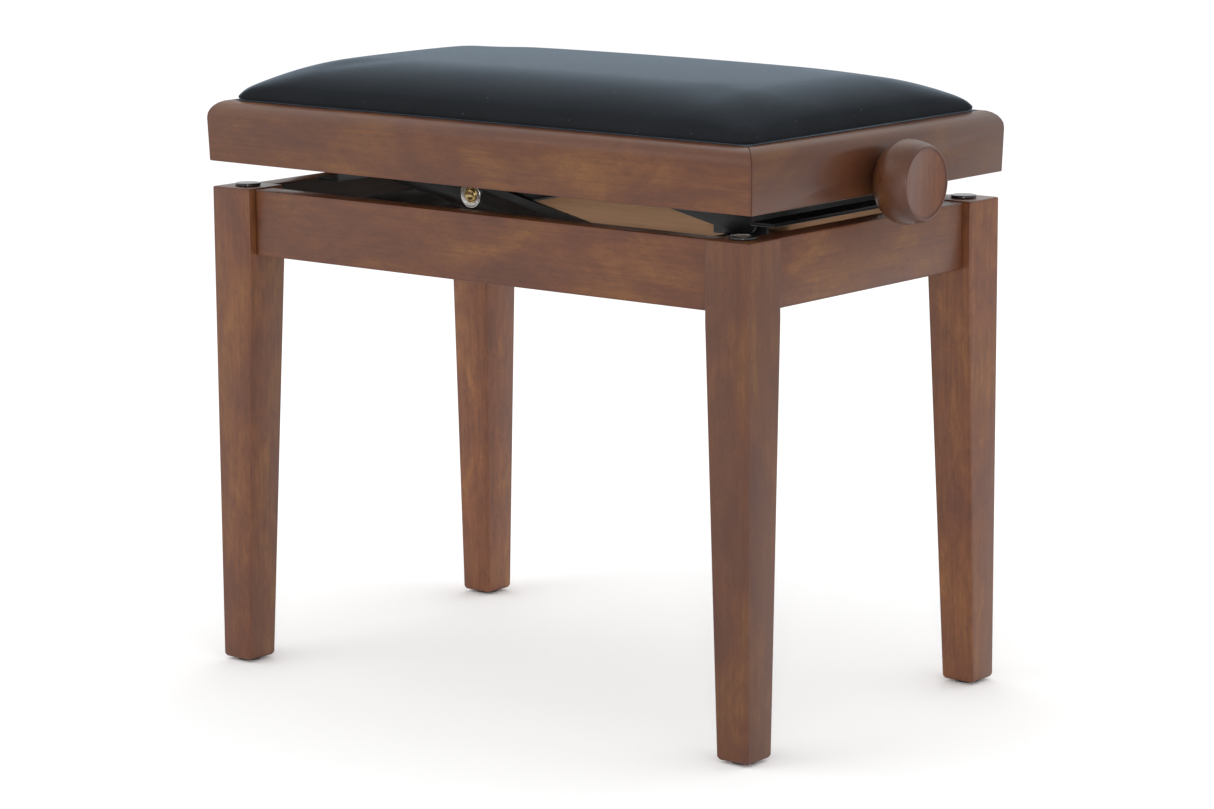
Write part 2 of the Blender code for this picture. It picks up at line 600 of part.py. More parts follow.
def make_drive(steel, zinc, wood):
    """Cross bar with nut, threaded spindle, collars and the two turned knobs."""
    size_x, size_y, size_z = NUT_SIZE
    nut = box("nut_bar", (SLIDE_X - size_x / 2, -size_y / 2, SPINDLE_Z - size_z / 2),
              (SLIDE_X + size_x / 2, size_y / 2, SPINDLE_Z + size_z / 2), zinc)
    for front, side in SIDES.items():
        stub = rod(f"bar_{front}", BAR_RADIUS, "Y", side * (size_y / 2 - 0.002), side * BAR_HALF,
                   (SLIDE_X, 0, SPINDLE_Z))
        combine(nut, stub, "UNION")
    bore = rod("nut_bore", SPINDLE_RADIUS + BORE_CLEARANCE, "X", -size_x, size_x, (SLIDE_X, 0, SPINDLE_Z))
    combine(nut, bore, "DIFFERENCE")

    root = SPINDLE_RADIUS - THREAD_DEPTH
    profile = [(-SPINDLE_HALF, 0.0), (-SPINDLE_HALF, SPINDLE_RADIUS), (THREAD_START, SPINDLE_RADIUS)]
    turns = round((THREAD_END - THREAD_START) / THREAD_PITCH)
    for turn in range(turns):
        start = THREAD_START + turn * THREAD_PITCH
        profile += [(start + 0.2 * THREAD_PITCH, root), (start + 0.5 * THREAD_PITCH, root),
                    (start + 0.7 * THREAD_PITCH, SPINDLE_RADIUS)]
        profile.append((start + THREAD_PITCH, SPINDLE_RADIUS))
    profile += [(SPINDLE_HALF, SPINDLE_RADIUS), (SPINDLE_HALF, 0.0)]
    spindle = turned("spindle", profile, "X", (0, 0, SPINDLE_Z), zinc, 12)

    turning = [spindle]
    for end, side in ENDS.items():
        bore = SPINDLE_RADIUS + GAP
        near = END_CHANNEL_NEAR - GAP
        collar = [(near - COLLAR_LENGTH, bore), (near - COLLAR_LENGTH, COLLAR_RADIUS),
                  (near, COLLAR_RADIUS), (near, bore)]
        placed = [(side * along, radius) for along, radius in collar]
        turning.append(turned(f"thrust_collar_{end}", placed, "X", (0, 0, SPINDLE_Z), steel, ring=True))
        turning.append(make_knob(f"knob_{end}", side, wood))
    return nut, turning


def make_knob(name, side, wood):
    """A turned knob with bulging sides, a flat outer face and a blind hole for the spindle."""
    length = KNOB_OUTER - KNOB_INNER
    bulge_steps = 8
    profile = [(SPINDLE_HALF + GAP, 0.0), (SPINDLE_HALF + GAP, SPINDLE_RADIUS + GAP),
               (KNOB_INNER, SPINDLE_RADIUS + GAP)]
    for step in range(bulge_steps + 1):
        share = step / bulge_steps
        start_radius = KNOB_NECK if share < 0.5 else KNOB_FACE
        radius = start_radius + (KNOB_RADIUS - start_radius) * math.sin(math.pi * share) ** 0.75
        profile.append((KNOB_INNER + length * share, radius))
    profile.append((KNOB_OUTER, 0.0))
    placed = [(side * along, radius) for along, radius in profile]
    return turned(name, placed, "X", (0, 0, SPINDLE_Z), wood, KNOB_SEGMENTS)


def make_lift(steel, zinc, wood, seat_pieces):
    """Arms, bolts, cross bar and spindle, each carried by an empty on its joint's axis."""
    inner, outer = make_arms(steel, zinc)
    for front, side in SIDES.items():
        low = (0.0744, BRACKET_Y - SHEET - GAP, ARM_A_Y + ARM_THICKNESS + GAP, 0.0905)
        make_bolt(f"base_pivot_bolt_{front}", side, low, LOWER_PIVOT_Z, zinc)
        high = (0.0838, ARM_B_Y - GAP, RAIL_Y + SHEET + GAP, 0.1015)
        seat_pieces.append(make_bolt(f"seat_pivot_bolt_{front}", side, high, SPINDLE_Z, zinc))
    nut, turning = make_drive(steel, zinc, wood)
    carry(pivot_empty("seat_carrier", (0, 0, SEAT_BOTTOM)), seat_pieces)
    carry(pivot_empty("inner_arms_axis", (PIVOT_X, 0, LOWER_PIVOT_Z)), inner)
    carry(pivot_empty("outer_arms_axis", (PIVOT_X, 0, SPINDLE_Z)), outer)
    carry(pivot_empty("nut_axis", (SLIDE_X, 0, SPINDLE_Z)), [nut])
    carry(pivot_empty("spindle_axis", (0, 0, SPINDLE_Z)), turning)


def clear_scene():
    """Start from an empty scene."""
    for item in list(bpy.data.objects):
        bpy.data.objects.remove(item, do_unlink=True)


def main():
    """Build the bench."""
    clear_scene()
    wood = make_material("stained_beech", (0.118, 0.040, 0.022), 0.38)
    ply = make_material("raw_plywood", (0.50, 0.33, 0.18), 0.70)
    fabric = make_material("black_velvet", (0.006, 0.007, 0.009), 0.90)
    steel = make_material("black_painted_steel", (0.012, 0.012, 0.013), 0.40, 0.3)
    zinc = make_material("zinc_plated_steel", (0.62, 0.58, 0.45), 0.30, 1.0)
    plastic = make_material("black_plastic", (0.012, 0.012, 0.013), 0.35)
    make_base_wood(wood, plastic)
    make_cross_channel("left", LEFT_CHANNEL_X, steel, zinc)
    make_cross_channel("right", RIGHT_CHANNEL_X, steel, zinc)
    make_brackets(steel)
    seat_pieces = make_seat_wood(wood, ply, fabric) + make_carrier(steel, plastic)
    make_lift(steel, zinc, wood, seat_pieces)


main()
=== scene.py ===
"""Looks of the height-adjustable piano bench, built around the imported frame.

Wooden and steel pieces keep their frame shape and get eased edges.  Turned pieces (knobs,
pads, glides, bolts, screws, spindle) are made again with fine sides and real detail, and
the cushion is a pad swelled by a cloth simulation.  Metres, +Z up, origin on the floor
under the middle.
"""
import json
import math

import bmesh
import bpy
from mathutils import Matrix, Vector


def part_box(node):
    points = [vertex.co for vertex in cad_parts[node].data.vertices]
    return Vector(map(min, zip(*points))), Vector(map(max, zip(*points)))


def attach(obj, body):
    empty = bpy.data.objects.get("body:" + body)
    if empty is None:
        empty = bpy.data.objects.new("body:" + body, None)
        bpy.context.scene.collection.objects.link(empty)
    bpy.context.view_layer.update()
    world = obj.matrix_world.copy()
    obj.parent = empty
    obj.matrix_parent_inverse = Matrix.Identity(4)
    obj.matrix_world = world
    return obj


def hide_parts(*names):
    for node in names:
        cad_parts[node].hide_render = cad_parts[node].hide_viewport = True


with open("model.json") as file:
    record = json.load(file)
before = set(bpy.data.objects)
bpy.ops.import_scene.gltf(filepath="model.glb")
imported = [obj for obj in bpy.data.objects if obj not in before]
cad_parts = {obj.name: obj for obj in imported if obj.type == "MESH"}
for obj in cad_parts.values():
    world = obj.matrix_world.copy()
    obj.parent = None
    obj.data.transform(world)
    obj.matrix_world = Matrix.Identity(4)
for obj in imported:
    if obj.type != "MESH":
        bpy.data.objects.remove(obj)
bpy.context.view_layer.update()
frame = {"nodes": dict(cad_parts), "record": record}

RECORD = frame["record"]
BODY_OF = {node: body for body, nodes in RECORD["behaviour"]["bodies"].items() for node in nodes}
SLOT_OF = {part["node"]: part["material_slot"] for part in RECORD["subparts"]}
SIDES = {"front": -1, "back": 1}
ENDS = {"left": -1, "right": 1}

# Camera: the direction, distance and lens that the bench is seen with.
CAMERA_AZIMUTH = 37.283
CAMERA_ELEVATION = 10.704
CAMERA_DISTANCE = 3.1453
CAMERA_LENS = 113.43
CAMERA_SHIFT = -0.10357
AIM_ALONG = 0.10677
AIM_HEIGHT = 0.22386
SENSOR_WIDTH = 36.0

# Studio: floor, surroundings, and each light's name, place, target, size and power.
FLOOR_HALF = 12.0
FLOOR_COLOUR = (0.985, 0.985, 0.985, 1.0)
WORLD_STRENGTH = 1.06
LIGHTS = (
    ("key", (-1.6, -2.6, 2.6), (0, 0, 0.3), (2.2, 2.2), 12.0),
    ("front", (2.31, -2.83, 0.90), (0, 0, 0.38), (0.40, 0.20), 36.0),
    ("top", (-0.4, 1.6, 2.6), (0, 0, 0.4), (2.4, 1.6), 8.0),
)

# Cushion: its shape before the cloth simulation.
CUSHION_LIP = 0.0020
CUSHION_CROWN = 0.0045
CUSHION_SLOPE_X = 0.067
CUSHION_SLOPE_Y = 0.090
CUSHION_FALL = 1.9
CUSHION_BULGE = 2.1
CUSHION_COLUMNS = 128
CUSHION_ROWS = 76
CUSHION_CORNER = 0.016
CUSHION_ROLL = 0.0012

# Cushion: the simulation, and how much of its swelling is kept.
CLOTH_FRAMES = 20
CLOTH_PRESSURE = 4.0
CLOTH_STIFFNESS = 40.0
CLOTH_BENDING = 2.0
HELD_HEIGHT = 0.0025
SWELL_CAP = 0.0060
SWELL_SMOOTHING = 12
SWELL_KEPT = 0.0012
ROOM_FOR_SWELL = 0.6

# Stain of the wood, dark to golden, and how strong its noise has to be for each colour.
STAINS = (
    (0.32, (0.088, 0.030, 0.015)),
    (0.50, (0.122, 0.042, 0.016)),
    (0.68, (0.172, 0.070, 0.019)),
)

# Unfinished wood of the long sides, and a near-black painted shade for the short sides' inner faces, which
# lie in the seat's shadow: dark, middle and light.
RAW_LIGHT = ((0.20, 0.10, 0.045), (0.27, 0.145, 0.07), (0.33, 0.185, 0.095))
RAW_PAINTED_SHADE = ((0.008, 0.005, 0.004), (0.014, 0.008, 0.006), (0.030, 0.015, 0.010))

# Tone of the pieces of wood that are lighter or darker than the rest: the back legs are made lighter as
# painted light where the bench shades them, the right seat rail darker as painted shade from the knob, and
# the other pieces lighter or darker as listed.
WOOD_TONES_AND_PAINTED_LIGHT = {
    "leg_back_left": 1.60,
    "leg_back_right": 1.30,
    "leg_front_left": 1.18,
    "leg_front_right": 0.86,
    "seat_rail_right": 0.66,
    "seat_rail_front": 0.90,
}

# Knob: its side darker as painted shade, its face lighter as painted light.
KNOB_SIDE_PAINTED_SHADE = 0.62
KNOB_FACE_PAINTED_LIGHT = 1.20

# Knob: radii as shares of the largest one, and its roundings.
KNOB_NECK = 0.61
KNOB_FACE = 0.875
KNOB_BELLY = 0.52
KNOB_BULGE = 0.70
KNOB_STEPS = 15
KNOB_ROUND = 0.0012
KNOB_BORE_DEPTH = 0.010
KNOB_BORE_RADIUS = 0.0063

# Spindle: its thread, and how far the thread reaches to both sides of the nut.
THREAD_PITCH = 0.003
THREAD_DEPTH = 0.0011
THREAD_BEFORE_NUT = 0.055
THREAD_AFTER_NUT = 0.052
THREAD_RINGS_PER_TURN = 10
SPINDLE_EASE = 0.001

# Widths of eased edges.
LEG_EASE = 0.0016
APRON_EASE = 0.0014
SEAT_RAIL_EASE = 0.0016
SHEET_EASE = 0.0005
BOARD_EASE = 0.0008
BUSH_EASE = 0.0004
BLOCK_EASE = 0.0006

# Sides of turned pieces.
ROUND_SIDES = 64
KNOB_SIDES = 96
BOLT_SIDES = 48
SMALL_SIDES = 40

# Velvet turned under the seat board, and how ragged its edge is.
TURNED_UNDER = 0.042
RAGGED_EDGE = 0.006

# Cross recess of a screw head: length and width of a slot, depth, and how far it is turned.
RECESS_SLOT = (0.0044, 0.0010)
RECESS_DEPTH = 0.0012
RECESS_TURNS = (20, 110)


# ---------------------------------------------------------------- materials
class Nodes:
    """A new material and short ways to add nodes to it."""

    def __init__(self, name):
        self.material = bpy.data.materials.new(name)
        self.material.use_nodes = True
        self.tree = self.material.node_tree
        self.shader = self.tree.nodes["Principled BSDF"]

    def add(self, kind, **values):
        """A node with its properties set."""
        node = self.tree.nodes.new(kind)
        for key, value in values.items():
            setattr(node, key, value)
        return node

    def link(self, source, target):
        """Join an output to an input."""
        self.tree.links.new(source, target)

    def set(self, **values):
        """Constant values on the shader's own sockets."""
        for key, value in values.items():
            self.shader.inputs[key.replace("_", " ")].default_value = value

    def place(self, scale, shift=(0, 0, 0)):
        """Object coordinates, shifted and scaled along each axis."""
        coordinates = self.add("ShaderNodeTexCoord")
        mapping = self.add("ShaderNodeMapping")
        mapping.inputs["Location"].default_value = shift
        mapping.inputs["Scale"].default_value = scale
        self.link(coordinates.outputs["Object"], mapping.inputs["Vector"])
        return mapping.outputs["Vector"]

    def noise(self, scale, shift=(0, 0, 0), detail=3.0, roughness=0.55, distortion=0.0):
        """Noise whose grains are 1 / scale metres long on each axis."""
        node = self.add("ShaderNodeTexNoise")
        node.inputs["Scale"].default_value = 1.0
        node.inputs["Detail"].default_value = detail
        node.inputs["Roughness"].default_value = roughness
        node.inputs["Distortion"].default_value = distortion
        self.link(self.place(scale, shift), node.inputs["Vector"])
        return node.outputs["Fac"]

    def ramp(self, value, stops):
        """Colours at given values."""
        node = self.add("ShaderNodeValToRGB")
        elements = node.color_ramp.elements
        while len(elements) < len(stops):
            elements.new(0.5)
        for element, (position, colour) in zip(elements, stops):
            element.position = position
            element.color = (*colour, 1.0)
        self.link(value, node.inputs["Fac"])
        return node.outputs["Color"]

    def spread(self, value, low, high, to_low, to_high):
        """A value mapped from one range to another."""
        node = self.add("ShaderNodeMapRange")
        for key, number in zip(("From Min", "From Max", "To Min", "To Max"), (low, high, to_low, to_high)):
            node.inputs[key].default_value = number
        self.link(value, node.inputs["Value"])
        return node.outputs["Result"]

    def mix(self, factor, first, second):
        """Two colours mixed; factor, first and second are outputs or constants."""
        node = self.add("ShaderNodeMix", data_type="RGBA")
        for socket, value in ((node.inputs[0], factor), (node.inputs[6], first), (node.inputs[7], second)):
            if isinstance(value, bpy.types.NodeSocket):
                self.link(value, socket)
            elif isinstance(value, tuple):
                socket.default_value = (*value, 1.0)
            else:
                socket.default_value = value
        return node.outputs[2]

    def math(self, operation, first, second=0.5):
        """One sum; first and second are outputs or constants."""
        node = self.add("ShaderNodeMath", operation=operation)
        for socket, value in zip(node.inputs, (first, second)):
            if isinstance(value, bpy.types.NodeSocket):
                self.link(value, socket)
            else:
                socket.default_value = value
        return node.outputs[0]

    def bump(self, height, distance, strength=1.0):
        """Fine relief on the shader's normal."""
        node = self.add("ShaderNodeBump")
        node.inputs["Distance"].default_value = distance
        node.inputs["Strength"].default_value = strength
        self.link(height, node.inputs["Height"])
        self.link(node.outputs["Normal"], self.shader.inputs["Normal"])

    def edge_mask(self, radius):
        """1 near the edges and 0 on flat faces, from how a wide bevel would turn the normal."""
        bevel = self.add("ShaderNodeBevel", samples=4)
        bevel.inputs["Radius"].default_value = radius
        geometry = self.add("ShaderNodeNewGeometry")
        dot = self.add("ShaderNodeVectorMath", operation="DOT_PRODUCT")
        self.link(bevel.outputs["Normal"], dot.inputs[0])
        self.link(geometry.outputs["True Normal"], dot.inputs[1])
        return self.spread(dot.outputs["Value"], 1.0, 0.80, 0.0, 1.0)


def along(axis, lengthwise, across):
    """Scales for a texture that is stretched along one axis."""
    return tuple(lengthwise if name == axis else across for name in "XYZ")


def stained_wood(name, axis, shift, tone=1.0):
    """Satin red-brown stained beech: golden clouds, fine grain, ray flecks, and redder, darker edges,
    partly the stain's own and partly painted shade.

    tone makes one piece of wood lighter or darker than the next; on the back legs, the right seat rail and
    the knobs it is painted light and painted shade.
    """
    nodes = Nodes(name)
    clouds = nodes.noise(along(axis, 11.0, 26.0), shift, detail=4.0, roughness=0.62, distortion=0.5)
    toned = [(place, tuple(tone * channel for channel in colour)) for place, colour in STAINS]
    stain = nodes.ramp(clouds, toned)
    figure = nodes.noise(along(axis, 60.0, 150.0), shift, detail=3.0, roughness=0.6, distortion=0.8)
    figured = nodes.mix(nodes.spread(figure, 0.42, 0.66, 0.0, 0.30), stain, (0.066, 0.022, 0.011))
    streaks = nodes.noise(along(axis, 14.0, 420.0), shift, detail=5.0, roughness=0.65)
    streaked = nodes.mix(nodes.spread(streaks, 0.38, 0.70, 0.0, 0.40), figured, (0.058, 0.018, 0.009))
    flecks = nodes.noise(along(axis, 190.0, 1300.0), shift, detail=1.0)
    flecked = nodes.mix(nodes.spread(flecks, 0.62, 0.74, 0.0, 0.38), streaked, (0.030, 0.010, 0.006))
    edges = nodes.edge_mask(0.0040)
    # Edges darker and redder: partly the stain gathered on the eased edges, partly painted shade along
    # roundings and inner corners.
    worn = nodes.mix(nodes.math("MULTIPLY", edges, 0.60), flecked, (0.072, 0.018, 0.009))
    nodes.link(worn, nodes.shader.inputs["Base Color"])
    nodes.link(nodes.spread(clouds, 0.3, 0.7, 0.34, 0.44), nodes.shader.inputs["Roughness"])
    nodes.set(Coat_Weight=0.12, Coat_Roughness=0.20, Specular_IOR_Level=0.32)
    nodes.bump(nodes.math("ADD", nodes.math("MULTIPLY", flecks, 0.6), streaks), 0.00006, 0.6)
    return nodes.material


def raw_wood(name, axis, tones):
    """Unfinished wood in three tones, dark to light, with streaks along the grain."""
    nodes = Nodes(name)
    dark, middle_tone, light = tones
    clouds = nodes.noise(along(axis, 7.0, 30.0), detail=4.0)
    base = nodes.ramp(clouds, [(0.30, middle_tone), (0.70, light)])
    streaks = nodes.noise(along(axis, 12.0, 380.0), detail=5.0, roughness=0.65)
    tone = nodes.mix(nodes.spread(streaks, 0.40, 0.70, 0.0, 0.40), base, dark)
    nodes.link(tone, nodes.shader.inputs["Base Color"])
    nodes.link(nodes.spread(streaks, 0.3, 0.7, 0.60, 0.74), nodes.shader.inputs["Roughness"])
    nodes.bump(streaks, 0.0001, 0.5)
    return nodes.material


def board(name, half_x, half_y):
    """Seat board: velvet over its edge and turned under, raw plywood in the middle below."""
    nodes = Nodes(name)
    face = nodes.noise((8.0, 60.0, 60.0), detail=4.0)
    raw = nodes.ramp(face, [(0.30, (0.40, 0.255, 0.135)), (0.70, (0.56, 0.385, 0.225))])
    coordinates = nodes.add("ShaderNodeTexCoord")
    split = nodes.add("ShaderNodeSeparateXYZ")
    nodes.link(coordinates.outputs["Object"], split.inputs["Vector"])
    ragged = nodes.math("MULTIPLY", nodes.noise((60.0, 60.0, 60.0), detail=2.0), RAGGED_EDGE)
    shares = []
    for axis, half in (("X", half_x), ("Y", half_y)):
        distance = nodes.math("ADD", nodes.math("ABSOLUTE", split.outputs[axis]), ragged)
        shares.append(nodes.math("GREATER_THAN", distance, half - TURNED_UNDER))
    cloth = nodes.math("MAXIMUM", *shares)
    tone = nodes.mix(cloth, raw, (0.012, 0.013, 0.015))
    nodes.link(tone, nodes.shader.inputs["Base Color"])
    nodes.link(nodes.spread(face, 0.3, 0.7, 0.72, 0.86), nodes.shader.inputs["Roughness"])
    nodes.bump(face, 0.0001, 0.5)
    return nodes.material


def velvet(name):
    """Black velvet: near-black pile with a cool sheen, cloudy brushing and specks of lint."""
    nodes = Nodes(name)
    brushing = nodes.noise((14.0, 20.0, 20.0), detail=4.0, roughness=0.6)
    pile = nodes.noise((1500.0, 1500.0, 1500.0), detail=2.0)
    base = nodes.ramp(brushing, [(0.30, (0.0120, 0.0128, 0.0142)), (0.70, (0.0150, 0.0164, 0.0184))])
    lint = nodes.noise((420.0, 420.0, 420.0), (3.1, 1.7, 0.4), detail=0.0)
    specks = nodes.mix(nodes.spread(lint, 0.845, 0.875, 0.0, 0.4), base, (0.16, 0.17, 0.18))
    nodes.link(specks, nodes.shader.inputs["Base Color"])
    nodes.link(nodes.spread(brushing, 0.3, 0.7, 0.80, 0.95), nodes.shader.inputs["Roughness"])
    nodes.set(Sheen_Weight=0.34, Sheen_Roughness=0.30, Sheen_Tint=(0.68, 0.84, 1.0, 1.0),
              Specular_IOR_Level=0.0)
    nodes.bump(pile, 0.00018, 0.7)
    return nodes.material


def black_paint(name):
    """Black enamel on sheet steel, with a faint orange peel, dust, and lighter edges that are a painted
    highlight.
    """
    nodes = Nodes(name)
    peel = nodes.noise((520.0, 520.0, 520.0), detail=2.0)
    dust = nodes.noise((30.0, 30.0, 30.0), detail=5.0, roughness=0.7)
    tone = nodes.ramp(dust, [(0.35, (0.0040, 0.0040, 0.0042)), (0.75, (0.0085, 0.0085, 0.0090))])
    # Lighter along the edges: a painted highlight standing in for glints on the sheet edges.
    worn = nodes.mix(nodes.math("MULTIPLY", nodes.edge_mask(0.0012), 0.5), tone, (0.035, 0.035, 0.036))
    nodes.link(worn, nodes.shader.inputs["Base Color"])
    nodes.link(nodes.spread(dust, 0.3, 0.7, 0.28, 0.42), nodes.shader.inputs["Roughness"])
    nodes.set(Specular_IOR_Level=0.35)
    nodes.bump(peel, 0.00004, 0.5)
    return nodes.material


def zinc(name, yellow):
    """Zinc-plated steel, plain or yellow passivated, with cloudy tarnish and turning marks."""
    nodes = Nodes(name)
    clouds = nodes.noise((160.0, 160.0, 160.0), detail=4.0, roughness=0.7)
    bright = (0.72, 0.56, 0.26) if yellow else (0.74, 0.74, 0.72)
    dull = (0.45, 0.34, 0.16) if yellow else (0.46, 0.46, 0.46)
    tone = nodes.ramp(clouds, [(0.35, dull), (0.65, bright)])
    nodes.link(tone, nodes.shader.inputs["Base Color"])
    nodes.link(nodes.spread(clouds, 0.3, 0.7, 0.34, 0.20), nodes.shader.inputs["Roughness"])
    nodes.set(Metallic=1.0)
    nodes.bump(nodes.noise((900.0, 900.0, 900.0), detail=2.0), 0.00003, 0.4)
    return nodes.material


def dark_plastic(name, level, roughness):
    """Moulded black plastic or rubber with a fine texture."""
    nodes = Nodes(name)
    grain = nodes.noise((1400.0, 1400.0, 1400.0), detail=2.0)
    worn = (level * 1.7, level * 1.7, level * 1.75)
    tone = nodes.ramp(grain, [(0.3, (level, level, level)), (0.7, worn)])
    nodes.link(tone, nodes.shader.inputs["Base Color"])
    nodes.link(nodes.spread(grain, 0.3, 0.7, roughness, roughness + 0.1), nodes.shader.inputs["Roughness"])
    nodes.bump(grain, 0.00005, 0.4)
    return nodes.material


BLACK_PAINT = black_paint("black_paint_on_steel")
ZINC = zinc("bright_zinc", False)
YELLOW_ZINC = zinc("yellow_zinc", True)
RUBBER = dark_plastic("pad_rubber_gloss", 0.010, 0.16)
PLASTIC = dark_plastic("black_plastic_matte", 0.012, 0.45)
VELVET = velvet("black_velvet_pile")


# ---------------------------------------------------------------- pieces
def adopt(piece, node, materials=()):
    """The piece rides on the node's body, stands in for the hidden node and takes the given materials."""
    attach(piece, BODY_OF[node])
    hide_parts(node)
    for material in materials:
        piece.data.materials.append(material)


def finish_mesh(name, data, smooth_angle=None):
    """Turn a bmesh into an object; faces that meet under the angle are shaded smooth."""
    bmesh.ops.recalc_face_normals(data, faces=data.faces)
    mesh = bpy.data.meshes.new(name)
    data.to_mesh(mesh)
    data.free()
    piece = bpy.data.objects.new(name, mesh)
    bpy.context.scene.collection.objects.link(piece)
    if smooth_angle is not None:
        mesh.shade_smooth()
        mesh.set_sharp_from_angle(angle=math.radians(smooth_angle))
    return piece


def ease_edges(piece, width, segments=3, angle=30):
    """Round the sharp edges and keep the flat faces flat."""
    modifier = piece.modifiers.new("eased_edges", "BEVEL")
    modifier.width = width
    modifier.segments = segments
    modifier.limit_method = "ANGLE"
    modifier.angle_limit = math.radians(angle)
    modifier.harden_normals = True
    piece.data.shade_smooth()


def refined(node, materials, width, raw_side=None):
    """Put a copy with clean faces and eased edges in a frame node's place.

    raw_side points to the faces that are left unfinished; below the seat board's underside they
    take the second material.
    """
    board_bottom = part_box("seat_board")[0].z
    data = bmesh.new()
    data.from_mesh(frame["nodes"][node].data)
    bmesh.ops.remove_doubles(data, verts=data.verts, dist=1e-6)
    bmesh.ops.dissolve_limit(data, angle_limit=math.radians(1.0), verts=data.verts, edges=data.edges)
    if raw_side is not None:
        for face in data.faces:
            below_board = face.calc_center_median().z < board_bottom + 0.001
            if face.normal.dot(Vector(raw_side)) > 0.9 and below_board:
                face.material_index = 1
    piece = finish_mesh(f"{node}_finished", data)
    ease_edges(piece, width)
    adopt(piece, node, materials)


def turned(name, profile, axis, centre, sides=ROUND_SIDES, smooth_angle=28):
    """A profile of (distance along the axis, radius) turned about the axis through centre."""
    data = bmesh.new()
    points = [data.verts.new((radius, 0.0, distance)) for distance, radius in profile]
    edges = [data.edges.new(pair) for pair in zip(points, points[1:])]
    bmesh.ops.spin(data, geom=points + edges, cent=(0, 0, 0), axis=(0, 0, 1),
                   angle=math.tau, steps=sides, use_merge=True)
    bmesh.ops.remove_doubles(data, verts=data.verts, dist=1e-6)
    turn = {
        "X": Matrix.Rotation(math.pi / 2, 4, "Y"),
        "Y": Matrix.Rotation(-math.pi / 2, 4, "X"),
        "Z": Matrix.Identity(4),
    }[axis]
    bmesh.ops.transform(data, matrix=Matrix.Translation(centre) @ turn, verts=data.verts)
    return finish_mesh(name, data, smooth_angle)


def arc(centre, radius, start, end, steps=6):
    """Points on a round stretch of a profile, angles in degrees."""
    turns = [math.radians(start + (end - start) * step / steps) for step in range(steps + 1)]
    return [(centre[0] + radius * math.cos(t), centre[1] + radius * math.sin(t)) for t in turns]


def middle(node):
    """Centre and size of a frame node's box."""
    low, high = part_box(node)
    return (low + high) / 2, high - low


def make_wood():
    """Legs, aprons and seat rails, each with its own piece of wood."""
    for front, side_y in SIDES.items():
        for left, side_x in ENDS.items():
            node = f"leg_{front}_{left}"
            shift = (3.0 * side_x + 1.3, 5.0 * side_y, 2.1 * side_x * side_y)
            # Listed tones: the back legs lighter as painted light where the bench shades them.
            wood = stained_wood(f"{node}_wood", "Z", shift, WOOD_TONES_AND_PAINTED_LIGHT.get(node, 1.0))
            refined(node, [wood], LEG_EASE)
    light = raw_wood("raw_wood_light", "X", RAW_LIGHT)
    dark = raw_wood("raw_wood_painted_shade", "Y", RAW_PAINTED_SHADE)
    inward_ways = {"front": (0, 1, 0), "back": (0, -1, 0), "left": (1, 0, 0), "right": (-1, 0, 0)}
    for number, (place, inward) in enumerate(inward_ways.items()):
        axis = "X" if place in SIDES else "Y"
        # The short sides' inner faces take the near-black painted shade of the shadowed inside.
        raw = light if axis == "X" else dark
        for kind, width in (("apron", APRON_EASE), ("seat_rail", SEAT_RAIL_EASE)):
            node = f"{kind}_{place}"
            shift = (1.7 * number, 4.2 + 0.9 * number, 7.0 if kind == "apron" else 1.0)
            # Listed tones: the right seat rail darker as painted shade from the knob.
            wood = stained_wood(f"{node}_wood", axis, shift, WOOD_TONES_AND_PAINTED_LIGHT.get(node, 1.0))
            refined(node, [wood, raw], width, raw_side=inward)


def make_steel():
    """Sheet-steel pieces with eased edges, and the seat board that they are screwed to."""
    for node, slot in SLOT_OF.items():
        if slot == "black_steel" and "collar" not in node:
            refined(node, [BLACK_PAINT], SHEET_EASE)
    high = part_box("seat_board")[1]
    refined("seat_board", [VELVET, board("seat_board_underside", high.x, high.y)], BOARD_EASE,
            raw_side=(0, 0, -1))


def knob_profile(inner, outer, radius):
    """Bore, bulging side, thin rim and slightly sunk face, from the seat outwards."""
    neck = KNOB_NECK * radius
    face = KNOB_FACE * radius
    bore_end = outer - KNOB_BORE_DEPTH
    profile = [(bore_end, 0.0), (bore_end, KNOB_BORE_RADIUS), (inner, KNOB_BORE_RADIUS)]
    profile += arc((inner + KNOB_ROUND, neck - KNOB_ROUND), KNOB_ROUND, 180, 90, 3)
    for step in range(1, KNOB_STEPS):
        share = step / KNOB_STEPS
        if share < KNOB_BELLY:
            start = neck
            phase = 0.5 * share / KNOB_BELLY
        else:
            start = face
            phase = 0.5 + 0.5 * (share - KNOB_BELLY) / (1 - KNOB_BELLY)
        bulge = math.sin(math.pi * phase) ** KNOB_BULGE
        distance = inner + KNOB_ROUND + (outer - inner - 2 * KNOB_ROUND) * share
        profile.append((distance, start + (radius - start) * bulge))
    profile += arc((outer - KNOB_ROUND, face - KNOB_ROUND), KNOB_ROUND, 80, -60, 6)
    profile += [(outer - 0.0011, face - 0.0030), (outer - 0.0011, 0.0)]
    return profile


def make_knobs():
    """Turned knobs, their side darkened as painted shade and their face lightened as painted light."""
    for number, (end, side) in enumerate(ENDS.items()):
        node = f"knob_{end}"
        centre, size = middle(node)
        inner = min(abs(corner.x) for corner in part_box(node))
        outer = inner + size.x
        profile = knob_profile(inner, outer, size.z / 2)
        placed = [(side * distance, radius) for distance, radius in profile]
        piece = turned(f"{node}_turned", placed, "X", (0, 0, centre.z), KNOB_SIDES, smooth_angle=50)
        shift = (2.0 + number, 0.7, 3.3)
        side_wood_painted_shade = stained_wood(f"{node}_wood", "Z", shift, KNOB_SIDE_PAINTED_SHADE)
        face_wood_painted_light = stained_wood(f"{node}_face_wood_painted_light", "Z", shift, KNOB_FACE_PAINTED_LIGHT)
        for polygon in piece.data.polygons:
            if abs(polygon.normal.x) > 0.95 and abs(polygon.center.x) > outer - 0.002:
                polygon.material_index = 1
        adopt(piece, node, materials=[side_wood_painted_shade, face_wood_painted_light])


